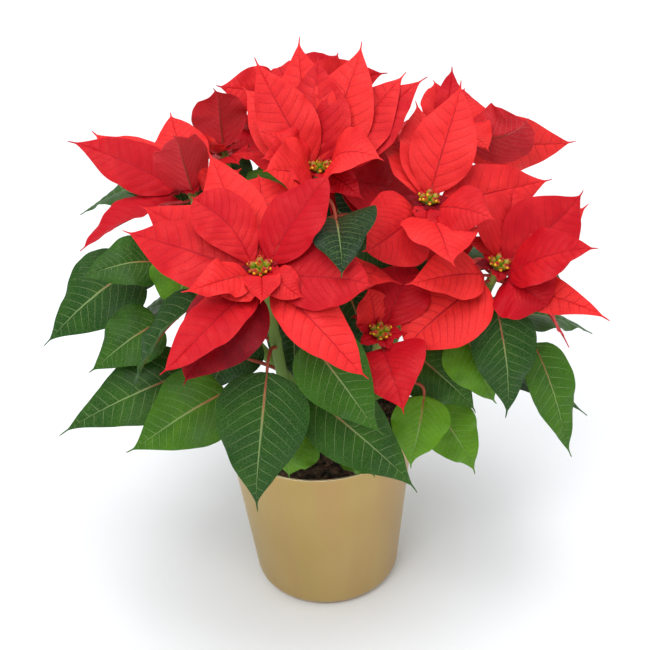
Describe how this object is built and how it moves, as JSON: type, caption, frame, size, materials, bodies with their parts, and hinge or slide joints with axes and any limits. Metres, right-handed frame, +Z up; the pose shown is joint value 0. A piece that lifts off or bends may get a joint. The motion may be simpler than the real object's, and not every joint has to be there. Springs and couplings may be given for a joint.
{
  "type": "potted poinsettia",
  "caption": "Bushy poinsettia with heads of pointed red bracts over green leaves, growing in soil in a tapered satin gold pot with a rounded foot.",
  "frame": {"origin": "middle of the pot's foot, on the surface it stands on", "axes": "+Z up along the pot's axis, -Y the side shown as the front, +X to the right seen from the front"},
  "size_m": [0.4082, 0.3909, 0.4248],
  "materials": {
    "gold_pot": "satin gold",
    "soil": "dark crumbly potting soil",
    "woody_stem": "young grey-green bark",
    "leaf_green": "matt green leaf and stem",
    "bract_red": "velvety scarlet bract",
    "cyathia_yellow": "waxy yellow-green cups"
  },
  "bodies": {
    "root": {"pot": "gold_pot", "soil": "soil", "main_stem": "woody_stem", "stem_1": "leaf_green", "stem_2": "leaf_green", "stem_3": "leaf_green", "stem_4": "leaf_green", "stem_5": "leaf_green", "stem_6": "leaf_green", "stem_7": "leaf_green", "stem_8": "leaf_green", "stem_9": "leaf_green", "bracts_1": "bract_red", "bracts_2": "bract_red", "bracts_3": "bract_red", "bracts_4": "bract_red", "bracts_5": "bract_red", "bracts_6": "bract_red", "bracts_7": "bract_red", "bracts_8": "bract_red", "bracts_9": "bract_red", "cyathia_1": "cyathia_yellow", "cyathia_2": "cyathia_yellow", "cyathia_3": "cyathia_yellow", "cyathia_4": "cyathia_yellow", "cyathia_5": "cyathia_yellow", "cyathia_6": "cyathia_yellow", "cyathia_7": "cyathia_yellow", "cyathia_8": "cyathia_yellow", "cyathia_9": "cyathia_yellow"}
  },
  "joints": []
}
